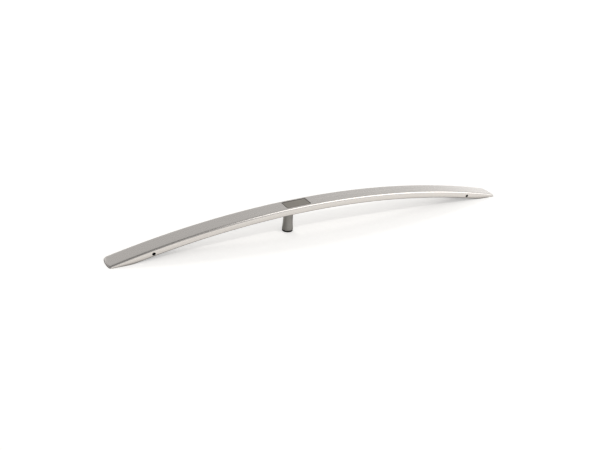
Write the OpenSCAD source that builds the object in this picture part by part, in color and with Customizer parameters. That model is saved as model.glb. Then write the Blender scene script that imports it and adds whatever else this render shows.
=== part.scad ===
// Bowed refrigerator door handle: an arched flat bar whose ends rest on the door, a centre
// post with a rubber foot, and a plain cover plate let into the front over the post's screw.
// X runs along the bar, Y across it and Z out from the door. The door face is the plane Z = 0.

/* [Bar] */
// Length of the handle, tip to tip
bar_length = 800; // [560:10:1000]
// Width of the bar
bar_width = 38; // [34:1:48]
// Thickness of the bar, front to back
bar_thickness = 13; // [12:0.5:16]
// Height of the front over the door at the middle
bow_height = 52.5; // [46:0.5:70]
// Height of the front over the door at the tips
tip_height = 2.5; // [1.5:0.25:5]
// Radius of the four long edges
edge_radius = 3.5; // [1:0.25:4]
// Radius of the slight bulge of the two sides
side_bulge_radius = 24; // [12:1:60]

/* [Bar ends] */
// Radius of the rounded corners of each tip, seen from the front
tip_corner_radius = 4.5; // [3:0.5:9]
// Radius of the slight bulge of each tip, seen from the front
tip_bulge_radius = 60; // [30:5:200]

/* [Cover plate] */
// How far the plate's middle lies from the post's axis, towards the middle of the bar
plate_shift = 15; // [0:0.5:16]
// Length of the recess that holds the plate
recess_length = 48; // [44:1:60]
// Width of the recess that holds the plate
recess_width = 25; // [20:0.5:28]
// Radius of the recess corners
recess_corner_radius = 2.5; // [1:0.25:4]
// Thickness of the plate
plate_thickness = 0.8; // [0.5:0.1:1.2]
// How far the plate's face lies below the front of the bar
plate_inset = 0.3; // [0.1:0.05:0.5]
// Thickness of the tape that holds the plate
tape_thickness = 0.25; // [0.15:0.05:0.5]
// How far the tape stays inside the plate's edge
tape_margin = 1; // [0.5:0.25:2]

/* [Centre post] */
// Distance of the post's axis from the middle of the bar
post_offset = 70; // [30:0.5:150]
// Radius of the post at its foot
post_foot_radius = 10; // [9.5:0.25:11]
// Radius of the post at its waist
post_waist_radius = 8.75; // [8:0.25:9]
// Radius of the post where it meets the bar
post_top_radius = 9.25; // [9.1:0.05:9.4]
// Height of the straight band above the post's foot
post_foot_band = 2; // [1:0.25:3]
// Chamfer round the bottom edge of the post
post_chamfer = 0.5; // [0.25:0.25:1]
// Width of the flat seat left round the post's top
seat_margin = 0.5; // [0.25:0.25:1.5]

/* [Rubber foot] */
// Thickness of the rubber disc under the post
foot_thickness = 3; // [1.5:0.25:4]
// Radius of the rubber disc
foot_radius = 9.8; // [8.5:0.1:10.5]
// Rounding of the disc's bottom edge
foot_rounding = 0.6; // [0.3:0.1:1]
// Radius of the spigot on the disc
spigot_radius = 3; // [2:0.25:4]
// Height of the spigot on the disc
spigot_height = 6; // [3:0.5:8]

/* [Post screw] */
// Radius of the screw's thread
screw_radius = 3; // [2.5:0.25:3.5]
// Length of the screw under its head
screw_length = 16; // [12:1:18]
// Radius of the screw's head
screw_head_radius = 5; // [4.5:0.25:5.5]
// Height of the screw's head
screw_head_height = 5.5; // [4:0.25:6]
// Width across the flats of the screw's hexagon socket
screw_key_width = 5; // [3:0.5:5]
// Depth of the screw's hexagon socket
screw_key_depth = 3; // [2:0.25:3.5]
// Thickness of the bar left under the screw's head
bar_left_under_head = 4; // [3:0.25:5]
// Depth of the post's tapped hole past the end of the screw
tap_run_out = 2; // [1:0.5:4]

/* [Door studs] */
// Distance of each stud's axis from the nearer tip
stud_inset = 76; // [66:1:86]
// Radius of the door stud
stud_radius = 4; // [3:0.25:4.5]
// Depth of the stud bore from its flat seat
stud_bore_depth = 8.5; // [7:0.25:9]
// Radius of the flat seat round the mouth of each stud bore
stud_seat_radius = 6.5; // [5.5:0.25:7.5]

/* [Set screws] */
// Height of the set screws over the seat of the stud bores
set_screw_rise = 4.5; // [3.5:0.25:5]
// Radius of each set screw's thread
set_screw_radius = 2.5; // [2:0.25:3]
// Length of each set screw
set_screw_length = 8; // [5:0.5:11]
// Width across the flats of each set screw's hexagon socket
set_screw_key_width = 2.5; // [1.5:0.25:2.5]
// Depth of each set screw's hexagon socket
set_screw_key_depth = 2.5; // [1.5:0.25:3]
// Length of the cone on each set screw's point
set_screw_point_length = 1; // [0.5:0.25:1.25]
// Chamfer round the mouth of each set screw's hole
hole_chamfer = 0.5; // [0.25:0.25:1]

/* [Fits] */
// Gap round the stud in its bore
stud_clearance = 0.15; // [0.05:0.05:0.4]
// Gap round each screw in its tapped hole
thread_clearance = 0.05; // [0.02:0.01:0.1]
// Gap round the post's screw in the bar
screw_hole_clearance = 0.3; // [0.2:0.05:0.5]
// Gap round the screw's head in its counterbore
head_clearance = 0.5; // [0.3:0.1:0.8]
// Gap between the plate and the edge of its recess
plate_gap = 0.6; // [0.2:0.05:0.6]
// Gap round the spigot in the post
spigot_clearance = 0.05; // [0.02:0.01:0.2]
// Gap between a set screw's point and the stud
point_clearance = 0.2; // [0.1:0.05:0.5]

/* [Hidden] */

// Steps round a full turn: the bow is a short arc of a very large circle
bow_fn = 720;
round_fn = 64;
// Flats along each rounded corner and each bulge of the bar's outlines
corner_steps = 8;
bulge_steps = 8;
// Length that a cut runs past the face it opens on
run_out = 1;
// The tip corners end just outside the sides, so they cross them at a slight angle
tip_corner_overrun = 0.3;

// The front is an arc through both tips and the middle
bow_rise = bow_height - tip_height;
front_radius = (pow(bar_length / 2, 2) + pow(bow_rise, 2)) / (2 * bow_rise);
back_radius = front_radius - bar_thickness;
bow_centre = bow_height - front_radius;

// Height over the door of an arc of the given radius about the bow's centre
function arc_height(radius, x) = bow_centre + sqrt(pow(radius, 2) - pow(x, 2));
// Angle about the bow's centre at which an arc of the given radius reaches x
function arc_angle(radius, x) = asin(x / radius);

plate_offset = post_offset - plate_shift;
recess_depth = plate_inset + plate_thickness + tape_thickness;
recess_floor_radius = front_radius - recess_depth;

// The post's seat is flat, cut just deep enough into the curved back to be a full circle
seat_radius = post_top_radius + seat_margin;
post_seat = arc_height(back_radius, max(post_offset - seat_radius, 0));
post_height = post_seat - foot_thickness;
head_seat = post_seat + bar_left_under_head;
tapped_depth = screw_length - bar_left_under_head + tap_run_out;

// The waist is one arc through the foot's and the top's radius, closest to the axis at the waist
foot_flare = post_foot_radius - post_waist_radius;
top_flare = post_top_radius - post_waist_radius;
waist_height = post_foot_band
    + (post_height - post_foot_band) / (1 + sqrt(top_flare / foot_flare));
waist_arc_radius = (pow(waist_height - post_foot_band, 2) + pow(foot_flare, 2)) / (2 * foot_flare);

stud_x = bar_length / 2 - stud_inset;
stud_bore_radius = stud_radius + stud_clearance;
stud_seat = arc_height(back_radius, stud_x - stud_seat_radius);
set_screw_height = stud_seat + set_screw_rise;
tapped_radius = set_screw_radius + thread_clearance;
set_screw_point = stud_radius + point_clearance;

function arc_points(x, y, radius, from, to, steps) = [for (i = [0:steps])
    let (angle = from + (to - from) * i / steps)
    [x + radius * cos(angle), y + radius * sin(angle)]];

// A rectangle with rounded corners whose two short ends bulge outwards as arcs
module barrel_outline(length, width, corner_radius, bulge_radius) {
    bulge_x = length / 2 - bulge_radius;
    corner_y = width / 2 - corner_radius;
    // Each corner's arc runs into the bulge's arc without a kink at this angle
    meet = asin(corner_y / (bulge_radius - corner_radius));
    corner_x = bulge_x + (bulge_radius - corner_radius) * cos(meet);
    step = 2 * meet / bulge_steps;
    end = concat(
        arc_points(corner_x, -corner_y, corner_radius, -90, -meet, corner_steps),
        arc_points(bulge_x, 0, bulge_radius, step - meet, meet - step, bulge_steps - 2),
        arc_points(corner_x, corner_y, corner_radius, meet, 90, corner_steps));
    polygon(concat(end, -end));
}

// Sweeps a section along the bow. The section has its X out from the bow's centre.
module along_bow(from_x, to_x) {
    start = arc_angle(back_radius, from_x);
    end = arc_angle(back_radius, to_x);
    translate([0, 0, bow_centre])
        rotate([90, 0, 0])
            rotate([0, 0, 90 - end])
                rotate_extrude(angle = end - start, $fn = bow_fn)
                    children();
}

// A slab that follows the bow between two radii, with the outline of a rounded rectangle
module bowed_slab(inner_radius, outer_radius, length, width, corner_radius) {
    intersection() {
        along_bow(-plate_offset - length, -plate_offset + length)
            translate([inner_radius, -width])
                square([outer_radius - inner_radius, 2 * width]);
        translate([0, 0, bow_centre])
            rotate([0, -arc_angle(front_radius, plate_offset), 0])
                translate([0, 0, back_radius])
                    linear_extrude(height = 2 * bar_thickness)
                        rounded_rectangle(length, width, corner_radius);
    }
}

module rounded_rectangle(length, width, corner_radius) {
    square([length - 2 * corner_radius, width], center = true);
    square([length, width - 2 * corner_radius], center = true);
    for (x = [-1, 1], y = [-1, 1])
        translate([x * (length / 2 - corner_radius), y * (width / 2 - corner_radius)])
            circle(r = corner_radius, $fn = round_fn);
}

module bar_blank() {
    intersection() {
        along_bow(-bar_length / 2 - run_out, bar_length / 2 + run_out)
            translate([front_radius - bar_thickness / 2, 0])
                rotate([0, 0, 90])
                    barrel_outline(bar_width, bar_thickness, edge_radius, side_bulge_radius);
        linear_extrude(height = bow_height + run_out)
            barrel_outline(bar_length, bar_width + 2 * tip_corner_overrun,
                tip_corner_radius, tip_bulge_radius);
    }
}

// The hole for the post's screw: counterbore from the recess, clearance hole, flat seat behind
module post_fixing_cut() {
    translate([-post_offset, 0, 0]) {
        translate([0, 0, head_seat])
            cylinder(h = bow_height - head_seat, r = screw_head_radius + head_clearance,
                $fn = round_fn);
        translate([0, 0, post_seat - run_out])
            cylinder(h = bar_left_under_head + 2 * run_out, r = screw_radius + screw_hole_clearance,
                $fn = round_fn);
        translate([0, 0, foot_thickness])
            cylinder(h = post_height, r = seat_radius, $fn = round_fn);
    }
}

// A blind bore for the door stud, with a flat face round its mouth
module stud_cut() {
    translate([0, 0, -run_out])
        cylinder(h = stud_seat + run_out, r = stud_seat_radius, $fn = round_fn);
    cylinder(h = stud_seat + stud_bore_depth, r = stud_bore_radius, $fn = round_fn);
}

// The tapped hole from the side of the bar into the stud bore
module set_screw_cut() {
    translate([0, 0, set_screw_height])
        rotate([90, 0, 0]) {
            cylinder(h = bar_width, r = tapped_radius, $fn = round_fn);
            translate([0, 0, bar_width / 2 - hole_chamfer])
                cylinder(h = 2 * hole_chamfer, r1 = tapped_radius,
                    r2 = tapped_radius + 2 * hole_chamfer, $fn = round_fn);
        }
}

module handle_bar() {
    color("#b4b3b1")
        difference() {
            bar_blank();
            bowed_slab(recess_floor_radius, front_radius + run_out,
                recess_length, recess_width, recess_corner_radius);
            post_fixing_cut();
            for (side = [-1, 1])
                translate([side * stud_x, 0, 0]) {
                    stud_cut();
                    set_screw_cut();
                }
        }
}

module cover_plate() {
    color("#7f7d79")
        bowed_slab(recess_floor_radius + tape_thickness, front_radius - plate_inset,
            recess_length - 2 * plate_gap, recess_width - 2 * plate_gap,
            recess_corner_radius - plate_gap);
}

module plate_tape() {
    inside = plate_gap + tape_margin;
    color("#2a2a2a")
        bowed_slab(recess_floor_radius, recess_floor_radius + tape_thickness,
            recess_length - 2 * inside, recess_width - 2 * inside,
            max(recess_corner_radius - inside, 0.5));
}

// Half of the post's section: a waisted side, a chamfered foot and a flat top
module post_profile() {
    difference() {
        square([post_foot_radius, post_height]);
        translate([post_waist_radius + waist_arc_radius, waist_height])
            circle(r = waist_arc_radius, $fn = bow_fn);
        translate([post_foot_radius, 0])
            polygon([[-post_chamfer, 0], [0, post_chamfer], [run_out, 0], [0, -run_out]]);
    }
}

module centre_post() {
    color("#77736f")
        translate([-post_offset, 0, foot_thickness])
            difference() {
                rotate_extrude($fn = round_fn)
                    post_profile();
                translate([0, 0, post_height - tapped_depth])
                    cylinder(h = tapped_depth + run_out, r = screw_radius + thread_clearance,
                        $fn = round_fn);
                translate([0, 0, -run_out])
                    cylinder(h = spigot_height + 2 * run_out, r = spigot_radius + spigot_clearance,
                        $fn = round_fn);
            }
}

// Half of the foot's section: a disc with a rounded bottom edge and a spigot on top
module foot_profile() {
    square([foot_radius - foot_rounding, foot_thickness]);
    translate([0, foot_rounding])
        square([foot_radius, foot_thickness - foot_rounding]);
    translate([foot_radius - foot_rounding, foot_rounding])
        circle(r = foot_rounding, $fn = round_fn);
    square([spigot_radius, foot_thickness + spigot_height]);
}

module foot_pad() {
    color("#1c1c1d")
        translate([-post_offset, 0, 0])
            rotate_extrude($fn = round_fn)
                foot_profile();
}

// A hexagon that is as wide across its flats as the key
module key_socket(width, depth) {
    cylinder(h = depth, r = width / sqrt(3), $fn = 6);
}

module post_screw() {
    color("#9a9a9c")
        translate([-post_offset, 0, head_seat])
            difference() {
                union() {
                    cylinder(h = screw_head_height, r = screw_head_radius, $fn = round_fn);
                    translate([0, 0, -screw_length])
                        cylinder(h = screw_length + run_out, r = screw_radius, $fn = round_fn);
                }
                translate([0, 0, screw_head_height - screw_key_depth])
                    key_socket(screw_key_width, screw_key_depth + run_out);
            }
}

// A headless screw along -Y from its point, with a coned point and a hexagon socket
module set_screw(x) {
    color("#3c3c3e")
        translate([x, -set_screw_point, set_screw_height])
            rotate([90, 0, 0])
                difference() {
                    union() {
                        cylinder(h = set_screw_point_length,
                            r1 = set_screw_radius - set_screw_point_length,
                            r2 = set_screw_radius, $fn = round_fn);
                        translate([0, 0, set_screw_point_length])
                            cylinder(h = set_screw_length - set_screw_point_length,
                                r = set_screw_radius, $fn = round_fn);
                    }
                    translate([0, 0, set_screw_length - set_screw_key_depth])
                        key_socket(set_screw_key_width, set_screw_key_depth + run_out);
                }
}

module left_set_screw() {
    set_screw(-stud_x);
}

module right_set_screw() {
    set_screw(stud_x);
}

handle_bar();
cover_plate();
plate_tape();
centre_post();
foot_pad();
post_screw();
left_set_screw();
right_set_screw();
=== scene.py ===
"""Dresses the door handle's CAD model.

It is a bowed bar of brushed aluminium with an inlaid plate, a post and its screws.
"""

import math

import bpy
import numpy as np
from bpy.props import FloatProperty, FloatVectorProperty, PointerProperty, StringProperty
from mathutils import Matrix, Vector


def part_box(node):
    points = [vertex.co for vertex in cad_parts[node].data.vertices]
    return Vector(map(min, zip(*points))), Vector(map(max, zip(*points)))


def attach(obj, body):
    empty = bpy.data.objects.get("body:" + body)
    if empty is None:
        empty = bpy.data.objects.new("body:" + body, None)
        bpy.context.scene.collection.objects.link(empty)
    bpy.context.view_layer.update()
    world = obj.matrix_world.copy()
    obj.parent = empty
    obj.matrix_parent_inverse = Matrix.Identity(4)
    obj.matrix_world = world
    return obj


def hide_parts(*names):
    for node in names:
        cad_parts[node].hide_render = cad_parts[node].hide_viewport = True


bl_info = {
    "name": "Bowed door handle",
    "version": (1, 0, 0),
    "blender": (4, 5, 0),
    "location": "View3D > Sidebar > Handle",
    "description": "Builds the visible surfaces of a bowed refrigerator door handle",
    "category": "Add Mesh",
}

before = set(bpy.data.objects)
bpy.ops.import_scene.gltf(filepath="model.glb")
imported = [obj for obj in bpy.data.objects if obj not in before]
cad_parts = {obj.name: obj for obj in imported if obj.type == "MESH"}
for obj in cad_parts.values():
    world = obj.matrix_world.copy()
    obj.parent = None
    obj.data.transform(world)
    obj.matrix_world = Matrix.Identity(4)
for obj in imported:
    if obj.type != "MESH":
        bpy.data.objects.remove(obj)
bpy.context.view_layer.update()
MM = 0.001
# Points round each turned piece
TURN = 64
# Length that a cutter runs past the face it opens on
RUN_OUT = 1 * MM
# Points closer than this are one point
MERGE_DISTANCE = 1e-6
# Two faces that meet at more than this angle keep a crease between them
CREASE_ANGLE = math.radians(32)
# How far past a limit a face still counts as inside it, when faces are chosen for painting
FACE_MARGIN = 0.1 * MM
# Play round the post screw's shank, and round its thread and the rubber foot's spigot
SHANK_PLAY = 0.3 * MM
FIT_PLAY = 0.05 * MM
# Space over the end of the spigot
SPIGOT_SPACE = 1 * MM
# Chamfer round the top of the post screw's head
HEAD_CHAMFER = 0.4 * MM
# A thread's depth over its pitch, and its rows in one pitch
THREAD_DEPTH = 0.6
THREAD_ROWS = 8
# A brushed streak's length over its width
STREAK_ASPECT = 60
# Width of the finer streaks on the plate
PLATE_STREAK = 0.9 * MM
# Height of the grain's relief at full strength
RELIEF = 0.05 * MM
# Colours painted as shade in the tapped holes and in the recess under the plate, and the tape's own black
HOLE_SHADE_COLOUR = "#1c1b1a"
RECESS_SHADE_COLOUR = "#3a3733"
TAPE_COLOUR = "#1e1e1e"
# Half the floor's side
FLOOR_HALF = 12.0
# Grey of the room that the metal mirrors, by the height of the direction
ROOM_GREYS = ((0.0, 1.15), (0.05, 1.05), (0.1, 0.8), (0.2, 0.54),
              (0.4, 0.49), (0.55, 0.45), (0.75, 0.28), (0.95, 0.16))
# Direction of the window's glow in the mirrored room
GLOW_DIRECTION = (0.6, -0.15, 0.785)


def size(name, default, description):
    """A length in millimetres, kept in metres."""
    return FloatProperty(name=name, description=description, default=default * MM,
                         unit="LENGTH", precision=5)


def tint(name, default, description):
    """A colour that is kept as an sRGB hex value."""
    return StringProperty(name=name, description=description, default=default)


class HandleBarSettings(bpy.types.PropertyGroup):
    """Sizes and colour of the bar."""

    thickness: size("Thickness", 13, "Thickness of the bar, front to back")
    tip_height: size("Tip height", 2.5, "Height of the front over the door at the tips")
    edge_radius: size("Edge radius", 3.5, "Radius of the four long edges")
    side_bulge_radius: size("Side bulge radius", 24, "Radius of the slight bulge of the two sides")
    tip_corner_radius: size("Tip corner radius", 4.5, "Radius of the rounded corners of each tip")
    tip_bulge_radius: size("Tip bulge radius", 60, "Radius of the slight bulge of each tip")
    stud_bore_radius: size("Stud bore radius", 4.15, "Radius of the bores for the door studs")
    stud_bore_depth: size("Stud bore depth", 8.5, "Depth of the stud bores from their seats")
    stud_seat_radius: size("Stud seat radius", 6.5, "Radius of the flat seat round each stud bore")
    hole_radius: size("Side hole radius", 2.55, "Radius of the tapped holes in the side")
    hole_chamfer: size("Side hole chamfer", 0.5, "Chamfer round the mouth of each side hole")
    colour: tint("Colour", "#e1dcd7", "Colour of the brushed aluminium")
    streak: size("Streak width", 1.8, "Width of a brushed streak")


class CoverPlateSettings(bpy.types.PropertyGroup):
    """Sizes and colour of the inlaid plate and its recess."""

    gap: size("Gap", 0.6, "Gap between the plate and the edge of its recess")
    corner_radius: size("Recess corner radius", 2.5, "Radius of the recess corners")
    inset: size("Inset", 0.3, "How far the plate's face lies below the front of the bar")
    thickness: size("Thickness", 0.8, "Thickness of the plate")
    tape_thickness: size("Tape thickness", 0.25, "Thickness of the tape under the plate")
    bevel: size("Bevel", 0.15, "Rounding of the plate's edge")
    # The rim is a band painted darker along the plate's edge, as shade from the gap round it
    rim: size("Rim", 1.1, "Width of the darker rim round the plate")
    colour: tint("Colour", "#a8a299", "Colour of the plate")
    rim_shade_colour: tint("Rim colour", "#6c645c", "Colour of the plate's rim")


class CentrePostSettings(bpy.types.PropertyGroup):
    """Sizes and colours of the post and its rubber foot."""

    waist_radius: size("Waist radius", 8.75, "Radius of the post at its waist")
    top_radius: size("Top radius", 9.25, "Radius of the post where it meets the bar")
    foot_band: size("Foot band", 2, "Height of the straight band above the post's foot")
    chamfer: size("Chamfer", 0.5, "Chamfer round the bottom edge of the post")
    seat_radius: size("Seat radius", 9.75, "Radius of the flat seat in the back of the bar")
    tapped_depth: size("Tapped depth", 14, "Depth of the tapped hole in the post")
    foot_rounding: size("Foot rounding", 0.6, "Rounding of the rubber foot's edges")
    spigot_radius: size("Spigot radius", 3, "Radius of the spigot on the rubber foot")
    colour: tint("Colour", "#a09d98", "Colour of the post")
    rubber_colour: tint("Rubber colour", "#0a0a0b", "Colour of the rubber foot")


class ScrewSettings(bpy.types.PropertyGroup):
    """Sizes and colours of the screws."""

    post_screw_radius: size("Post screw radius", 3, "Radius of the post screw's thread")
    post_screw_pitch: size("Post screw pitch", 1, "Pitch of the post screw's thread")
    head_height: size("Head height", 5.5, "Height of the post screw's head")
    head_clearance: size("Head clearance", 0.5, "Gap round the head in its counterbore")
    key_width: size("Key width", 5, "Width across the flats of the post screw's socket")
    key_depth: size("Key depth", 3, "Depth of the post screw's socket")
    set_screw_pitch: size("Set screw pitch", 0.8, "Pitch of the set screws' thread")
    set_screw_key_width: size("Set screw key width", 2.5, "Width across the flats of a set screw's socket")
    set_screw_key_depth: size("Set screw key depth", 2.5, "Depth of a set screw's socket")
    set_screw_point: size("Set screw point", 1, "Length of the cone on a set screw's point")
    steel_colour: tint("Steel colour", "#b4b4b6", "Colour of the zinc-plated screw")
    black_colour: tint("Black colour", "#262627", "Colour of the blackened set screws")


class StageSettings(bpy.types.PropertyGroup):
    """Camera, light and floor."""

    azimuth: FloatProperty(name="Azimuth", description="Turn of the camera towards the bar's left end",
                           default=math.radians(29.257), subtype="ANGLE")
    elevation: FloatProperty(name="Elevation", description="Height angle of the camera",
                             default=math.radians(26.758), subtype="ANGLE")
    roll: FloatProperty(name="Roll", description="Tilt of the camera about its own axis",
                        default=math.radians(3.71), subtype="ANGLE")
    distance: size("Distance", 1362.4, "Distance from the camera to the point it is aimed at")
    lens: FloatProperty(name="Lens", description="Focal length on a 36 mm sensor, in millimetres",
                        default=44.956)
    aim: FloatVectorProperty(name="Aim", description="Point that the camera is aimed at",
                             default=(-44.43 * MM, 0, 5.5 * MM), subtype="TRANSLATION")
    floor_colour: tint("Floor colour", "#e5e3e0", "Colour of the floor")
    mirrored_shade_colour: tint("Gap colour", "#7a7876",
                     "Colour of the shaded gap under the bar, as the metal mirrors it")


SETTINGS = {
    "handle_bar": HandleBarSettings,
    "cover_plate": CoverPlateSettings,
    "centre_post": CentrePostSettings,
    "screws": ScrewSettings,
    "stage": StageSettings,
}


class Bow:
    """The bar's front is an arc in the XZ plane through both tips and the middle."""

    def __init__(self, settings):
        low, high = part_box("handle_bar")
        self.half_length = high[0]
        self.half_width = high[1]
        self.height = high[2]
        self.thickness = settings.thickness
        rise = self.height - settings.tip_height
        self.front = (self.half_length**2 + rise**2) / (2 * rise)
        self.back = self.front - self.thickness
        self.centre = self.height - self.front

    def z(self, radius, x):
        """Height of the circle of this radius about the bow's centre, above x."""
        return self.centre + np.sqrt(radius**2 - np.asarray(x) ** 2)


def middle_of(node):
    """Middle of a CAD node's box."""
    low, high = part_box(node)
    return [(a + b) / 2 for a, b in zip(low, high)]


def arc(centre_x, centre_y, radius, start, end, steps):
    """Points of an arc, with the outward normal at each."""
    angle = np.linspace(start, end, steps + 1)
    normal = np.stack([np.cos(angle), np.sin(angle)], axis=1)
    return np.array([centre_x, centre_y]) + radius * normal, normal


def mirrored(points, normals):
    """A right quarter of an outline with its mirror image, from the left end to the right."""
    flip = np.array([-1.0, 1.0])
    return (np.concatenate([points * flip, points[-2::-1]]),
            np.concatenate([normals * flip, normals[-2::-1]]))


def half_barrel(half_length, half_width, corner_radius, bulge_radius,
                corner_steps, bulge_steps, straight_steps):
    """The upper half of a rectangle with rounded corners and bulging ends, with its normals.

    The right quarter is the bulge's arc from the middle to the angle at which it runs into the corner's
    arc, the corner's arc up to 90 degrees and a straight line to the middle.
    """
    bulge_x = half_length - bulge_radius
    corner_y = half_width - corner_radius
    meet = math.asin(corner_y / (bulge_radius - corner_radius))
    corner_x = bulge_x + (bulge_radius - corner_radius) * math.cos(meet)
    bulge, bulge_normal = arc(bulge_x, 0, bulge_radius, 0, meet, bulge_steps)
    corner, corner_normal = arc(corner_x, corner_y, corner_radius, meet, math.pi / 2, corner_steps)
    along = np.linspace(corner_x, 0, straight_steps + 1)[1:]
    straight = np.stack([along, np.full_like(along, half_width)], axis=1)
    straight_normal = np.tile([0.0, 1.0], (len(along), 1))
    points = np.concatenate([bulge[:-1], corner, straight])
    normals = np.concatenate([bulge_normal[:-1], corner_normal, straight_normal])
    return mirrored(points, normals)


def half_rounded(half_length, half_width, corner_radius, corner_steps, straight_steps):
    """The upper half of a rectangle with rounded corners, with its normals."""
    corner, corner_normal = arc(half_length - corner_radius, half_width - corner_radius, corner_radius,
                                0, math.pi / 2, corner_steps)
    along = np.linspace(corner[-1, 0], 0, straight_steps + 1)[1:]
    straight = np.stack([along, np.full_like(along, half_width)], axis=1)
    end = np.array([[half_length, 0.0]])
    points = np.concatenate([end, corner, straight])
    normals = np.concatenate([[[1.0, 0.0]], corner_normal, np.tile([0.0, 1.0], (len(along), 1))])
    return mirrored(points, normals)


def mesh_from_grid(name, grid, uv):
    """Makes a mesh object of an (m, n, 3) grid of points and an (m, n, 2) grid of UV values.

    Neighbouring points make quads, and the last column joins the first. Points that fall together, as at a
    pole or a tip, are merged.
    """
    rows, columns = grid.shape[:2]
    row = np.arange(rows - 1)[:, None]
    column = np.arange(columns)[None, :]
    next_row, next_column = row + 1, (column + 1) % columns
    corners = [row * columns + column, next_row * columns + column,
               next_row * columns + next_column, row * columns + next_column]
    faces = np.stack([np.broadcast_to(c, (row.size, column.size)) for c in corners], axis=2).reshape(-1, 4)
    wide_uv = np.concatenate([uv, uv[:, -1:]], axis=1)
    loop_uv = np.stack([wide_uv[:-1, :-1], wide_uv[1:, :-1], wide_uv[1:, 1:], wide_uv[:-1, 1:]], axis=2)
    mesh = bpy.data.meshes.new(name)
    mesh.from_pydata(grid.reshape(-1, 3), [], faces)
    mesh.uv_layers.new(name="UVMap").data.foreach_set("uv", loop_uv.reshape(-1).astype(np.float32))
    piece = bpy.data.objects.new(name, mesh)
    bpy.context.collection.objects.link(piece)
    tidy_mesh(piece)
    return piece


def tidy_mesh(piece):
    """Merges points that fall together and turns the faces outwards."""
    bpy.context.view_layer.objects.active = piece
    bpy.ops.object.select_all(action="DESELECT")
    piece.select_set(True)
    bpy.ops.object.mode_set(mode="EDIT")
    bpy.ops.mesh.select_all(action="SELECT")
    bpy.ops.mesh.remove_doubles(threshold=MERGE_DISTANCE)
    bpy.ops.mesh.normals_make_consistent(inside=False)
    bpy.ops.object.mode_set(mode="OBJECT")


def shade(piece):
    """Shades a piece smooth, with a crease where two faces meet at more than the crease angle."""
    piece.data.shade_smooth()
    piece.data.set_sharp_from_angle(angle=CREASE_ANGLE)


def bowed_shell(name, bow, outline, normals, centre_x, section, floor=None):
    """A closed shell that follows the bow: each point of a section is carried along half an outline.

    A row of the section is (fraction, inset, radius). Its points lie the inset inside the outline, at that
    fraction of the way out from the middle line, on the circle of that radius about the bow's centre.
    The section runs from the front's middle line over one side to the back's, and is mirrored for the other.
    """
    fraction, inset, radius = (np.array(column) for column in zip(*section))
    inset = np.broadcast_to(inset, (len(outline), len(fraction))) if inset.ndim == 1 else inset.T
    x = centre_x + outline[:, :1] - inset * normals[:, :1]
    y = (outline[:, 1:] - inset * normals[:, 1:]) * fraction
    y[[0, -1]] = 0
    z = bow.z(radius, x)
    if floor is not None:
        z = np.maximum(z, floor)
    half = np.stack([x, -y, z], axis=2)
    other = (half * np.array([1, -1, 1]))[:, -2:0:-1]
    grid = np.concatenate([half, other], axis=1)
    middle = grid[len(grid) // 2]
    girth = np.concatenate([[0], np.cumsum(np.linalg.norm(np.diff(middle, axis=0), axis=1))])
    length = bow.front * np.arcsin(grid[:, :, 0] / bow.front)
    uv = np.stack([length, np.broadcast_to(girth, length.shape)], axis=2)
    return mesh_from_grid(name, grid, uv)


def turned(name, profile, place):
    """A closed surface of revolution about Z, carried to its place by a matrix.

    A row of the profile is (radius, height), and the radius may be an array over the angle.
    """
    angle = np.linspace(0, 2 * math.pi, TURN, endpoint=False)
    radius = np.array([np.broadcast_to(r, angle.shape) for r, _ in profile])
    height = np.array([np.broadcast_to(h, angle.shape) for _, h in profile])
    grid = np.stack([radius * np.cos(angle), radius * np.sin(angle), height], axis=2)
    steps = np.linalg.norm(np.diff(grid, axis=0), axis=2)
    along = np.concatenate([np.zeros((1, TURN)), np.cumsum(steps, axis=0)])
    around = np.broadcast_to(angle * radius.max(), along.shape)
    piece = mesh_from_grid(name, grid, np.stack([around, along], axis=2))
    piece.data.transform(place)
    return piece


def cut(piece, cutters):
    """Cuts each cutter out of the piece and deletes the cutters."""
    for cutter in cutters:
        tool = piece.modifiers.new(cutter.name, "BOOLEAN")
        tool.operation = "DIFFERENCE"
        tool.solver = "EXACT"
        tool.object = cutter
    bpy.context.view_layer.update()
    evaluated = piece.evaluated_get(bpy.context.evaluated_depsgraph_get())
    result = bpy.data.meshes.new_from_object(evaluated)
    piece.modifiers.clear()
    piece.data = result
    for cutter in cutters:
        bpy.data.objects.remove(cutter, do_unlink=True)


def finish_piece(piece, material, node):
    """Gives a new piece its material and puts it in the place of its CAD node."""
    piece.data.materials.clear()
    piece.data.materials.append(material)
    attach(piece, "root")
    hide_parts(node)


def paint_faces(piece, material, chosen):
    """Gives some faces a further material, chosen by a function of their centres and normals."""
    faces = piece.data.polygons
    centres, normals = np.empty(len(faces) * 3), np.empty(len(faces) * 3)
    faces.foreach_get("center", centres)
    faces.foreach_get("normal", normals)
    mask = chosen(centres.reshape(-1, 3), normals.reshape(-1, 3))
    indices = np.zeros(len(faces), dtype=np.int32)
    faces.foreach_get("material_index", indices)
    indices[mask] = len(piece.data.materials)
    piece.data.materials.append(material)
    faces.foreach_set("material_index", indices)


def linear(hex_colour):
    """The linear colour of an sRGB hex value."""
    channels = [int(hex_colour[i:i + 2], 16) / 255 for i in (1, 3, 5)]
    return [c / 12.92 if c <= 0.04045 else ((c + 0.055) / 1.055) ** 2.4 for c in channels] + [1.0]


def add_node(tree, kind, settings=None, inputs=None):
    """Adds a node with its settings. An input is a value, or an output socket that is linked to it."""
    node = tree.nodes.new(kind)
    for name, value in (settings or {}).items():
        setattr(node, name, value)
    for name, value in (inputs or {}).items():
        if isinstance(value, bpy.types.NodeSocket):
            tree.links.new(value, node.inputs[name])
        else:
            node.inputs[name].default_value = value
    return node


def eased(tree, value, source, target):
    """Carries a value from the source range to the target range, with eased ends. Returns its socket."""
    ease = add_node(tree, "ShaderNodeMapRange", {"interpolation_type": "SMOOTHSTEP"}, {
        "Value": value, "From Min": source[0], "From Max": source[1],
        "To Min": target[0], "To Max": target[1]})
    return ease.outputs["Result"]


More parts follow.
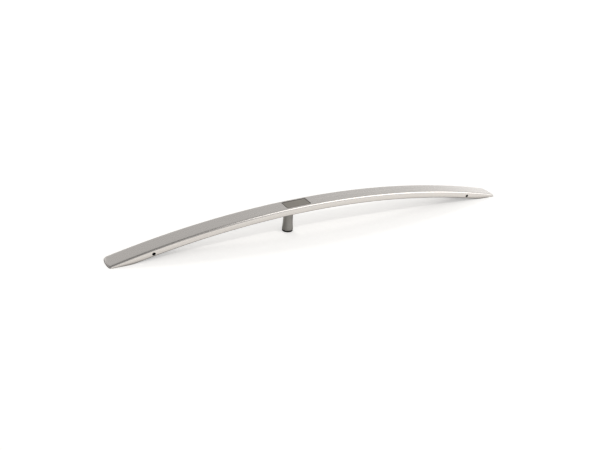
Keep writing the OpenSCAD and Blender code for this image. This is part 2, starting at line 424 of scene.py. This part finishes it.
def new_material(name):
    """A material with an empty node tree, and its output node."""
    material = bpy.data.materials.new(name)
    material.use_nodes = True
    material.node_tree.nodes.clear()
    return material, material.node_tree, material.node_tree.nodes.new("ShaderNodeOutputMaterial")


def grain_inputs(tree, grain, colour, contrast, roughness, swing, reach, bump):
    """Shader inputs that follow a noise node: its colour, its roughness and its height.

    The roughness swings this much either way as the noise goes this far either way from one half.
    """
    dark, light = (tuple(c * (1 + s * contrast) for c in linear(colour)[:3]) + (1.0,) for s in (-1, 1))
    tone = add_node(tree, "ShaderNodeMix", {"data_type": "RGBA"},
                    {"Factor": grain.outputs["Fac"], 6: dark, 7: light})
    rough = add_node(tree, "ShaderNodeMapRange", {}, {
        "Value": grain.outputs["Fac"], "From Min": 0.5 - reach, "From Max": 0.5 + reach,
        "To Min": roughness - swing, "To Max": roughness + swing})
    relief = add_node(tree, "ShaderNodeBump", {}, {
        "Height": grain.outputs["Fac"], "Strength": bump, "Distance": RELIEF})
    return {"Base Color": tone.outputs[2], "Roughness": rough.outputs["Result"],
            "Normal": relief.outputs["Normal"]}


def brushed_metal(name, colour, streak, roughness, contrast):
    """A metal brushed along the bar: fine streaks vary its colour, its roughness and its height.

    The streaks are noise on the UV map, whose U is the length along the bar and V the way round it, both in
    metres.
    """
    material, tree, output = new_material(name)
    uv = add_node(tree, "ShaderNodeUVMap", {"uv_map": "UVMap"})
    stretch = add_node(tree, "ShaderNodeMapping", {"vector_type": "POINT"},
                       {"Vector": uv.outputs["UV"], "Scale": (1 / (STREAK_ASPECT * streak), 1 / streak, 1)})
    grain = add_node(tree, "ShaderNodeTexNoise", {"noise_dimensions": "2D"},
                     {"Vector": stretch.outputs["Vector"], "Scale": 1.0, "Detail": 4.0, "Roughness": 0.65})
    inputs = grain_inputs(tree, grain, colour, contrast, roughness, swing=0.06, reach=0.25, bump=0.2)
    direction = add_node(tree, "ShaderNodeTangent", {"direction_type": "UV_MAP", "uv_map": "UVMap"})
    # A quarter turn lays the stretched highlight across the streaks
    surface = add_node(tree, "ShaderNodeBsdfPrincipled", {}, {
        **inputs, "Metallic": 1.0, "Anisotropic": 0.5, "Anisotropic Rotation": 0.25,
        "Tangent": direction.outputs["Tangent"]})
    tree.links.new(surface.outputs["BSDF"], output.inputs["Surface"])
    return material


def grained(name, colour, metallic, roughness, grain_size, contrast, bump):
    """A finish with an even grain: noise on Object coordinates varies its colour, roughness and height."""
    material, tree, output = new_material(name)
    place = add_node(tree, "ShaderNodeTexCoord")
    grain = add_node(tree, "ShaderNodeTexNoise", {}, {
        "Vector": place.outputs["Object"], "Scale": 1 / grain_size, "Detail": 3.0})
    inputs = grain_inputs(tree, grain, colour, contrast, roughness, swing=0.05, reach=0.2, bump=bump)
    surface = add_node(tree, "ShaderNodeBsdfPrincipled", {}, {**inputs, "Metallic": metallic})
    tree.links.new(surface.outputs["BSDF"], output.inputs["Surface"])
    return material


class HANDLE_OT_bar(bpy.types.Operator):
    """Make the bowed bar with its recess, bores and side holes"""

    bl_idname = "handle.bar"
    bl_label = "Handle bar"

    def execute(self, context):
        settings = context.scene.handle_bar
        bow = Bow(settings)
        outline, normals = half_barrel(bow.half_length, bow.half_width,
                                       settings.tip_corner_radius, settings.tip_bulge_radius,
                                       corner_steps=10, bulge_steps=8, straight_steps=70)
        bar = bowed_shell("brushed_bar", bow, outline, normals, 0.0, self.section(bow, settings), floor=0.0)
        cut(bar, self.cutters(context, bow))
        shade(bar)
        # Satin anodised aluminium, brushed along its length: soft stretched highlights
        material = brushed_metal("brushed_aluminium", settings.colour, settings.streak,
                                 roughness=0.25, contrast=0.1)
        finish_piece(bar, material, "handle_bar")
        # Painted shade: the walls of the tapped holes are painted nearly black for the shade deep inside
        # them
        thread = grained("tapped_hole_painted_shade", HOLE_SHADE_COLOUR, metallic=0.0, roughness=0.7,
                         grain_size=0.4 * MM, contrast=0.2, bump=0.3)
        paint_faces(bar, thread, self.hole_walls(settings))
        # Painted shade: the walls of the milled recess round the plate are painted dark for the shade in the
        # gap
        recess_shade = grained("recess_painted_shade", RECESS_SHADE_COLOUR, metallic=0.0, roughness=0.7,
                        grain_size=0.6 * MM, contrast=0.2, bump=0.2)
        paint_faces(bar, recess_shade, self.recess_walls(context, bow))
        return {"FINISHED"}

    def hole_walls(self, settings):
        """Chooses the faces inside the mouths of the side holes."""
        reach = settings.hole_radius + settings.hole_chamfer

        def chosen(centres, normals):
            mask = np.zeros(len(centres), dtype=bool)
            for node in ("left_set_screw", "right_set_screw"):
                x, _, z = middle_of(node)
                mask |= np.hypot(centres[:, 0] - x, centres[:, 2] - z) < reach
            mask &= centres[:, 1] < 0
            # Leaves out the bar's side and the flat seats over the studs
            return mask & (np.abs(normals[:, 1]) < 0.9) & (np.abs(normals[:, 2]) < 0.999)
        return chosen

    def recess_walls(self, context, bow):
        """Chooses the faces of the recess: inside its outline and below the bar's front."""
        plate = context.scene.cover_plate
        low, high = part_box("cover_plate")
        reach = plate.gap + FACE_MARGIN
        depth = plate.inset + plate.thickness + plate.tape_thickness + FACE_MARGIN

        def chosen(centres, normals):
            below = bow.z(bow.front, centres[:, 0]) - centres[:, 2]
            inside = (centres[:, 0] > low[0] - reach) & (centres[:, 0] < high[0] + reach)
            inside &= np.abs(centres[:, 1]) < high[1] + reach
            return inside & (below > FACE_MARGIN) & (below < depth)
        return chosen

    def section(self, bow, settings):
        """Rows from the front's middle line over the rounded side to the back's middle line."""
        points, _ = half_barrel(bow.half_width, bow.thickness / 2,
                                settings.edge_radius, settings.side_bulge_radius,
                                corner_steps=7, bulge_steps=5, straight_steps=1)
        quarter = len(points) // 2
        side = np.concatenate([points[quarter + 1:], points[quarter + 1:-1][::-1] * np.array([1, -1])])
        flat = bow.half_width - side[0, 0]
        front = [(f, flat, bow.front) for f in (0.0, 0.25, 0.5, 0.75)]
        back = [(f, flat, bow.back) for f in (0.75, 0.5, 0.25, 0.0)]
        core = bow.front - bow.thickness / 2
        round_side = [(1.0, bow.half_width - across, core + out) for across, out in side]
        return front + round_side + back

    def cutters(self, context, bow):
        """Solids of the recess, the post's fixing hole, the stud bores and the side holes."""
        bar, plate = context.scene.handle_bar, context.scene.cover_plate
        post, screws = context.scene.centre_post, context.scene.screws
        low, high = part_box("cover_plate")
        depth = plate.inset + plate.thickness + plate.tape_thickness
        outline, normals = half_rounded((high[0] - low[0]) / 2 + plate.gap,
                                        (high[1] - low[1]) / 2 + plate.gap, plate.corner_radius,
                                        corner_steps=8, straight_steps=6)
        floor = bow.front - depth
        recess = bowed_shell("recess", bow, outline, normals, middle_of("cover_plate")[0],
                             [(0.0, 0.0, bow.front + RUN_OUT), (1.0, 0.0, bow.front + RUN_OUT),
                              (1.0, 0.0, floor), (0.0, 0.0, floor)])
        low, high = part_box("centre_post")
        screw_low, screw_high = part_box("post_screw")
        head_seat = screw_high[2] - screws.head_height
        head = (screw_high[0] - screw_low[0]) / 2 + screws.head_clearance
        shank = screws.post_screw_radius + SHANK_PLAY
        fixing = turned("post_fixing", [(0, low[2]), (post.seat_radius, low[2]), (post.seat_radius, high[2]),
                                        (shank, high[2]), (shank, head_seat), (head, head_seat),
                                        (head, bow.height), (0, bow.height)],
                        Matrix.Translation((middle_of("centre_post")[0], 0, 0)))
        cutters = [recess, fixing]
        for node in ("left_set_screw", "right_set_screw"):
            x, _, z = middle_of(node)
            seat = float(bow.z(bow.back, abs(x) - bar.stud_seat_radius))
            top = seat + bar.stud_bore_depth
            stud = [(0, -RUN_OUT), (bar.stud_seat_radius, -RUN_OUT), (bar.stud_seat_radius, seat),
                    (bar.stud_bore_radius, seat), (bar.stud_bore_radius, top), (0, top)]
            cutters.append(turned(node + "_stud", stud, Matrix.Translation((x, 0, 0))))
            # The cone that makes the chamfer runs as far past the side as it is deep
            cone = 2 * bar.hole_chamfer
            mouth = bow.half_width - bar.hole_chamfer
            hole = [(0, 0), (bar.hole_radius, 0), (bar.hole_radius, mouth),
                    (bar.hole_radius + cone, mouth + cone), (0, mouth + cone)]
            across = Matrix.Translation((x, 0, z)) @ Matrix.Rotation(math.pi / 2, 4, "X")
            cutters.append(turned(node + "_hole", hole, across))
        return cutters


class HANDLE_OT_cover_plate(bpy.types.Operator):
    """Make the inlaid plate and give its tape a finish"""

    bl_idname = "handle.cover_plate"
    bl_label = "Cover plate"

    def execute(self, context):
        settings = context.scene.cover_plate
        bow = Bow(context.scene.handle_bar)
        low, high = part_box("cover_plate")
        middle = middle_of("cover_plate")[0]
        outline, normals = half_rounded((high[0] - low[0]) / 2, (high[1] - low[1]) / 2,
                                        settings.corner_radius - settings.gap,
                                        corner_steps=8, straight_steps=8)
        face = bow.front - settings.inset
        turn = np.linspace(0, math.pi / 2, 4)
        edge = [(1.0, settings.bevel * (1 - math.sin(a)), face - settings.bevel * (1 - math.cos(a)))
                for a in turn]
        flat = [(f, settings.rim, face) for f in (0.0, 0.5, 1.0)]
        under = [(f, 0.0, face - settings.thickness) for f in (1.0, 0.5, 0.0)]
        plate = bowed_shell("inlaid_plate", bow, outline, normals, middle, flat + edge + under)
        shade(plate)
        # Darker anodised aluminium, brushed like the bar and left bare
        material = brushed_metal("dark_anodised_aluminium", settings.colour, PLATE_STREAK,
                                 roughness=0.34, contrast=0.08)
        finish_piece(plate, material, "cover_plate")
        # Painted shade: the same finish, painted darker along the plate's edge for the shade of the gap
        # round it
        rim = brushed_metal("plate_rim_painted_shade", settings.rim_shade_colour, PLATE_STREAK,
                            roughness=0.38, contrast=0.08)
        inner_x, inner_y = high[0] - settings.rim - middle, high[1] - settings.rim
        paint_faces(plate, rim, lambda centres, normals: (np.abs(centres[:, 0] - middle) > inner_x)
                    | (np.abs(centres[:, 1]) > inner_y))
        # Acrylic foam tape: matt black with a fine open grain
        foam = grained("acrylic_foam_tape", TAPE_COLOUR, metallic=0.0, roughness=0.85,
                       grain_size=0.6 * MM, contrast=0.2, bump=0.4)
        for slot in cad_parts["plate_tape"].material_slots:
            slot.material = foam
        return {"FINISHED"}


class HANDLE_OT_centre_post(bpy.types.Operator):
    """Make the waisted post and its rubber foot"""

    bl_idname = "handle.centre_post"
    bl_label = "Centre post"

    def execute(self, context):
        settings, screws = context.scene.centre_post, context.scene.screws
        low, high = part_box("centre_post")
        axis = Matrix.Translation((middle_of("centre_post")[0], 0, 0))
        foot_radius = (high[0] - low[0]) / 2
        profile = self.post_profile(settings, screws, foot_radius, low[2], high[2])
        post = turned("waisted_post", profile, axis)
        shade(post)
        # Grey satin powder coat on a turned post: fine even grain, soft gloss
        coat = grained("satin_powder_coat", settings.colour, metallic=0.2, roughness=0.38,
                       grain_size=1.2 * MM, contrast=0.2, bump=0.5)
        finish_piece(post, coat, "centre_post")
        foot_low, foot_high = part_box("foot_pad")
        foot = turned("rubber_foot", self.foot_profile(settings, (foot_high[0] - foot_low[0]) / 2,
                                                       foot_low[2], low[2], foot_high[2]), axis)
        shade(foot)
        # Moulded nitrile rubber: black, matt, with a faint moulding grain
        rubber = grained("nitrile_rubber", settings.rubber_colour, metallic=0.0, roughness=0.85,
                         grain_size=0.7 * MM, contrast=0.15, bump=0.3)
        finish_piece(foot, rubber, "foot_pad")
        return {"FINISHED"}

    def post_profile(self, settings, screws, foot_radius, bottom, top):
        """Radius and height from the top's tapped hole down the waisted side to the hole for the spigot.

        The side is one arc that passes through the foot's and the top's radius and is closest to the axis at
        the waist.
        """
        foot_flare = foot_radius - settings.waist_radius
        top_flare = settings.top_radius - settings.waist_radius
        reach = (top - bottom - settings.foot_band) / (1 + math.sqrt(top_flare / foot_flare))
        radius = (reach**2 + foot_flare**2) / (2 * foot_flare)
        waist = bottom + settings.foot_band + reach
        height = np.linspace(top, bottom + settings.foot_band, 25)
        side = settings.waist_radius + radius - np.sqrt(radius**2 - (height - waist) ** 2)
        tapped = screws.post_screw_radius + FIT_PLAY
        spigot = settings.spigot_radius + FIT_PLAY
        spigot_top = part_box("foot_pad")[1][2] + SPIGOT_SPACE
        return ([(0, top - settings.tapped_depth), (tapped, top - settings.tapped_depth), (tapped, top)]
                + list(zip(side, height))
                + [(foot_radius, bottom + settings.chamfer), (foot_radius - settings.chamfer, bottom),
                   (spigot, bottom), (spigot, spigot_top), (0, spigot_top)])

    def foot_profile(self, settings, radius, bottom, seat, top):
        """Radius and height of the rubber disc with both edges rounded, and of its spigot."""
        rounding = settings.foot_rounding
        lower, upper = [], []
        for angle in np.linspace(0, math.pi / 2, 6):
            sine, cosine = rounding * (1 - math.sin(angle)), rounding * (1 - math.cos(angle))
            lower.append((radius - sine, bottom + cosine))
            upper.append((radius - cosine, seat - sine))
        return ([(0, bottom)] + lower + upper
                + [(settings.spigot_radius, seat), (settings.spigot_radius, top), (0, top)])


class HANDLE_OT_screws(bpy.types.Operator):
    """Make the post's screw and the two set screws"""

    bl_idname = "handle.screws"
    bl_label = "Screws"

    def execute(self, context):
        settings = context.scene.screws
        # Zinc-plated steel: bright grey with a slight mottle
        zinc = grained("zinc_plated_steel", settings.steel_colour, metallic=1.0, roughness=0.35,
                       grain_size=1.2 * MM, contrast=0.06, bump=0.1)
        # Black-oxide steel: nearly black, oily sheen
        black = grained("black_oxide_steel", settings.black_colour, metallic=1.0, roughness=0.4,
                        grain_size=1.0 * MM, contrast=0.1, bump=0.1)
        low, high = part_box("post_screw")
        head_radius = (high[0] - low[0]) / 2
        seat = high[2] - settings.head_height
        thread = self.thread(settings.post_screw_radius, settings.post_screw_pitch, low[2], seat)
        rows = ([(0, low[2])] + thread
                + [(head_radius, seat), (head_radius, high[2] - HEAD_CHAMFER),
                   (head_radius - HEAD_CHAMFER, high[2])]
                + self.socket(settings.key_width, settings.key_depth, high[2]))
        screw = turned("post_cap_screw", rows, Matrix.Translation((middle_of("post_screw")[0], 0, 0)))
        shade(screw)
        finish_piece(screw, zinc, "post_screw")
        for node in ("left_set_screw", "right_set_screw"):
            low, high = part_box(node)
            length, radius = high[1] - low[1], (high[0] - low[0]) / 2
            point = settings.set_screw_point
            rows = ([(0, 0), (radius - point, 0)]
                    + self.thread(radius, settings.set_screw_pitch, point, length)
                    + self.socket(settings.set_screw_key_width, settings.set_screw_key_depth, length))
            x, _, z = middle_of(node)
            place = Matrix.Translation((x, high[1], z))
            screw = turned(node + "_threaded", rows, place @ Matrix.Rotation(math.pi / 2, 4, "X"))
            shade(screw)
            finish_piece(screw, black, node)
        return {"FINISHED"}

    def thread(self, radius, pitch, start, end):
        """Rows of a thread: the radius falls and rises as a triangle wave of the height less the turn.

        The wave fades out over half a pitch at both ends.
        """
        angle = np.linspace(0, 1, TURN, endpoint=False)
        rows = []
        for height in np.linspace(start, end, max(2, round((end - start) / pitch * THREAD_ROWS) + 1)):
            wave = np.abs(2 * ((height / pitch - angle) % 1) - 1)
            fade = min(1.0, (height - start) / (pitch / 2), (end - height) / (pitch / 2))
            rows.append((radius - THREAD_DEPTH * pitch * wave * max(fade, 0.0), height))
        return rows

    def socket(self, width, depth, top):
        """Rows of a hexagon socket: the radius to a flat is half the width over the angle's cosine."""
        angle = np.linspace(0, 2 * math.pi, TURN, endpoint=False)
        hexagon = width / 2 / np.cos((angle % (math.pi / 3)) - math.pi / 6)
        return [(hexagon, top), (hexagon, top - depth), (0, top - depth)]


class HANDLE_OT_stage(bpy.types.Operator):
    """Set up the floor, the light and the camera"""

    bl_idname = "handle.stage"
    bl_label = "Stage"

    def execute(self, context):
        settings = context.scene.stage
        self.floor(settings)
        self.world(context)
        # Front-right window: casts the shadow behind the bar. Metal mirrors the room's glow in its place
        front = self.lamp("front_window", (0.52, -0.44, 0.73), distance=4.5, width=0.4, power=43.0)
        front.visible_glossy = False
        # Back window: casts the faint shadow on the camera's side of the bar
        back = self.lamp("back_window", (0.0, 0.73, 0.68), distance=4.5, width=0.95, power=30.0)
        back.visible_glossy = False
        self.camera(context, settings)
        context.scene.view_settings.view_transform = "Standard"
        return {"FINISHED"}

    def floor(self, settings):
        """A wide pale floor under the handle, lifted towards white for the camera, and glowing as painted
        light for the metal's reflections.
        """
        corners = [(x * FLOOR_HALF, y * FLOOR_HALF, 0) for x, y in ((-1, -1), (1, -1), (1, 1), (-1, 1))]
        mesh = bpy.data.meshes.new("floor")
        mesh.from_pydata(corners, [], [(0, 1, 2, 3)])
        floor = bpy.data.objects.new("floor", mesh)
        bpy.context.collection.objects.link(floor)
        material, tree, output = new_material("pale_table")
        place = add_node(tree, "ShaderNodeTexCoord")
        away = add_node(tree, "ShaderNodeVectorMath", {"operation": "LENGTH"}, {0: place.outputs["Object"]})
        fade = add_node(tree, "ShaderNodeMapRange", {}, {
            "Value": away.outputs["Value"], "From Min": 0.6, "From Max": 3.0, "To Min": 0.4, "To Max": 0.56})
        path = add_node(tree, "ShaderNodeLightPath")
        # Glossy rays see the floor painted darker here: painted shade in the metal's reflection
        painted_mirror_shade = add_node(tree, "ShaderNodeMath", {"operation": "MULTIPLY"}, {
            0: path.outputs["Is Glossy Ray"], 1: self.darkness(tree, place)})
        paint = add_node(tree, "ShaderNodeMix", {"data_type": "RGBA"}, {
            "Factor": painted_mirror_shade.outputs[0],
            6: linear(settings.floor_colour), 7: linear(settings.mirrored_shade_colour)})
        matt = add_node(tree, "ShaderNodeBsdfDiffuse", {}, {"Color": paint.outputs[2]})
        # Painted light: outside the painted shade the floor glows for glossy rays, so the metal mirrors it
        # brighter
        light = add_node(tree, "ShaderNodeMath", {"operation": "SUBTRACT"}, {
            0: path.outputs["Is Glossy Ray"], 1: painted_mirror_shade.outputs[0]})
        sheen = add_node(tree, "ShaderNodeMath", {"operation": "MULTIPLY"}, {0: light.outputs[0], 1: 0.28})
        lift = add_node(tree, "ShaderNodeMath", {"operation": "MULTIPLY_ADD"}, {
            0: path.outputs["Is Camera Ray"], 1: fade.outputs["Result"], 2: sheen.outputs[0]})
        glow = add_node(tree, "ShaderNodeEmission", {}, {"Strength": lift.outputs[0]})
        both = add_node(tree, "ShaderNodeAddShader", {}, {0: matt.outputs[0], 1: glow.outputs[0]})
        tree.links.new(both.outputs[0], output.inputs["Surface"])
        mesh.materials.append(material)

    def darkness(self, tree, place):
        """Painted shade on the floor as the metal mirrors it: under the bar, and beyond its left tip."""
        axis = add_node(tree, "ShaderNodeSeparateXYZ", {}, {0: place.outputs["Object"]})
        across = add_node(tree, "ShaderNodeMath", {"operation": "ABSOLUTE"}, {0: axis.outputs["Y"]})
        under = eased(tree, across.outputs[0], (14 * MM, 30 * MM), (1.0, 0.0))
        left = eased(tree, axis.outputs["X"], (-0.46, -0.38), (0.7, 0.0))
        both = add_node(tree, "ShaderNodeMath", {"operation": "MAXIMUM"}, {
            0: under, 1: left})
        return both.outputs[0]

    def world(self, context):
        """White to the camera. Metal mirrors a room that is bright near the horizon and darker above.

        The room has a dark wall at the left and a window's glow high at the right.
        """
        world = bpy.data.worlds.new("room")
        world.use_nodes = True
        tree = world.node_tree
        tree.nodes.clear()
        output = tree.nodes.new("ShaderNodeOutputWorld")
        way = add_node(tree, "ShaderNodeTexCoord")
        axis = add_node(tree, "ShaderNodeSeparateXYZ", {}, {0: way.outputs["Generated"]})
        height = add_node(tree, "ShaderNodeValToRGB", {}, {"Fac": axis.outputs["Z"]})
        self.ramp(height.color_ramp, ROOM_GREYS)
        dim = eased(tree, axis.outputs["Y"], (-1.0, 0.0), (1.25, 1.3))
        wall = eased(tree, axis.outputs["X"], (-0.8, -0.2), (0.35, 1.0))
        level = add_node(tree, "ShaderNodeMath", {"operation": "MULTIPLY"}, {0: dim, 1: wall})
        room = add_node(tree, "ShaderNodeBackground", {}, {
            "Color": height.outputs["Color"], "Strength": level.outputs["Value"]})
        side = add_node(tree, "ShaderNodeVectorMath", {"operation": "DOT_PRODUCT"}, {
            0: way.outputs["Generated"], 1: GLOW_DIRECTION})
        window = eased(tree, side.outputs["Value"], (0.87, 0.93), (0.0, 1.8))
        glow = add_node(tree, "ShaderNodeBackground", {}, {"Color": (1, 1, 1, 1), "Strength": window})
        seen_room = add_node(tree, "ShaderNodeAddShader", {}, {0: room.outputs[0], 1: glow.outputs[0]})
        soft = add_node(tree, "ShaderNodeMapRange", {}, {
            "Value": axis.outputs["X"], "From Min": -1.0, "From Max": 1.0, "To Min": 0.33, "To Max": 0.87})
        fill = add_node(tree, "ShaderNodeBackground", {}, {
            "Color": (1, 1, 1, 1), "Strength": soft.outputs["Result"]})
        white = add_node(tree, "ShaderNodeBackground", {}, {"Color": (1, 1, 1, 1), "Strength": 1.0})
        path = add_node(tree, "ShaderNodeLightPath")
        gloss = add_node(tree, "ShaderNodeMixShader", {}, {
            0: path.outputs["Is Glossy Ray"], 1: fill.outputs[0], 2: seen_room.outputs[0]})
        seen = add_node(tree, "ShaderNodeMixShader", {}, {
            0: path.outputs["Is Camera Ray"], 1: gloss.outputs[0], 2: white.outputs[0]})
        tree.links.new(seen.outputs[0], output.inputs["Surface"])
        context.scene.world = world

    def lamp(self, name, direction, distance, width, power):
        """A round soft light that faces the handle from this direction."""
        light = bpy.data.lights.new(name, "AREA")
        light.shape = "DISK"
        light.size = width
        light.energy = power
        lamp = bpy.data.objects.new(name, light)
        towards = Vector(direction).normalized()
        turn = towards.to_track_quat("Z", "Y").to_matrix().to_4x4()
        lamp.matrix_world = Matrix.Translation(towards * distance) @ turn
        bpy.context.collection.objects.link(lamp)
        return lamp

    def ramp(self, ramp, stops):
        """Sets a colour ramp's stops, each a position and a grey level."""
        while len(ramp.elements) < len(stops):
            ramp.elements.new(1.0)
        for element, (position, grey) in zip(ramp.elements, stops):
            element.position = position
            element.color = (grey, grey, grey, 1)

    def camera(self, context, settings):
        """The photograph's camera: aimed down at the bar from the front left, with a slight roll."""
        sin, cos = math.sin, math.cos
        az, el = settings.azimuth, settings.elevation
        forward = Vector((sin(az) * cos(el), cos(az) * cos(el), -sin(el)))
        level = Vector((cos(az), -sin(az), 0))
        upright = level.cross(forward)
        right = cos(settings.roll) * level + sin(settings.roll) * upright
        up = cos(settings.roll) * upright - sin(settings.roll) * level
        data = bpy.data.cameras.new("camera")
        data.sensor_width = 36
        data.lens = settings.lens
        camera = bpy.data.objects.new("camera", data)
        turn = Matrix((right, up, -forward)).transposed().to_4x4()
        camera.matrix_world = Matrix.Translation(Vector(settings.aim) - settings.distance * forward) @ turn
        bpy.context.collection.objects.link(camera)
        context.scene.camera = camera


class HANDLE_PT_panel(bpy.types.Panel):
    """Lists the handle's pieces and their sizes"""

    bl_idname = "HANDLE_PT_panel"
    bl_label = "Bowed door handle"
    bl_space_type = "VIEW_3D"
    bl_region_type = "UI"
    bl_category = "Handle"

    def draw(self, context):
        for operator in OPERATORS:
            self.layout.operator(operator.bl_idname)
        for name, group in SETTINGS.items():
            box = self.layout.box()
            box.label(text=name.replace("_", " ").capitalize())
            for prop in group.__annotations__:
                box.prop(getattr(context.scene, name), prop)


OPERATORS = (HANDLE_OT_bar, HANDLE_OT_cover_plate, HANDLE_OT_centre_post, HANDLE_OT_screws, HANDLE_OT_stage)


def register():
    for group in SETTINGS.values():
        bpy.utils.register_class(group)
    for name, group in SETTINGS.items():
        setattr(bpy.types.Scene, name, PointerProperty(type=group))
    for operator in OPERATORS:
        bpy.utils.register_class(operator)
    bpy.utils.register_class(HANDLE_PT_panel)


def unregister():
    bpy.utils.unregister_class(HANDLE_PT_panel)
    for operator in reversed(OPERATORS):
        bpy.utils.unregister_class(operator)
    for name, group in SETTINGS.items():
        delattr(bpy.types.Scene, name)
        bpy.utils.unregister_class(group)


def main():
    register()
    bpy.ops.handle.bar()
    bpy.ops.handle.cover_plate()
    bpy.ops.handle.centre_post()
    bpy.ops.handle.screws()
    bpy.ops.handle.stage()


if __name__ == "__main__":
    main()
